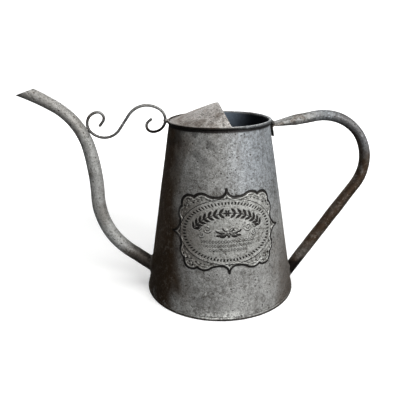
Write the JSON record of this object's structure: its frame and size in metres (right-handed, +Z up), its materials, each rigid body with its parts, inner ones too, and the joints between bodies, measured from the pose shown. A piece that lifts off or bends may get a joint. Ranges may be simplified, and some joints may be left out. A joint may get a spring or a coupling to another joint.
{
  "type": "watering can",
  "caption": "Tapered sheet-metal watering can with a gooseneck spout, scroll brace, arched splash hood over the mouth, bent tube handle and an embossed front plaque.",
  "frame": {"origin": "centre of the base on the can's axis, on the surface it stands on", "axes": "+Z up along the can's axis, spout towards -X, handle towards +X, plaque facing -Y"},
  "size_m": [0.3688, 0.1674, 0.2251],
  "materials": {
    "body_zinc": "weathered galvanised sheet, matt",
    "steel_wire": "dull steel wire",
    "base_zinc": "weathered galvanised sheet, matt",
    "solder": "dull tinned solder",
    "hood_zinc": "weathered galvanised sheet, warm grey",
    "spout_zinc": "weathered galvanised tube, matt",
    "handle_zinc": "weathered galvanised tube with rust staining",
    "scroll_wire": "weathered galvanised wire",
    "plaque_zinc": "stamped galvanised sheet with dark patina in its recesses"
  },
  "bodies": {
    "root": {"body_wall": "body_zinc", "rim_wire": "steel_wire", "base_pan": "base_zinc", "base_seal": "solder", "splash_hood": "hood_zinc", "hood_solder": "solder", "spout_tube": "spout_zinc", "spout_solder": "solder", "handle_tube": "handle_zinc", "handle_top_solder": "solder", "handle_foot_solder": "solder", "scroll_brace": "scroll_wire", "scroll_spout_solder": "solder", "scroll_rim_solder": "solder", "plaque": "plaque_zinc", "plaque_solder": "solder"}
  },
  "joints": []
}
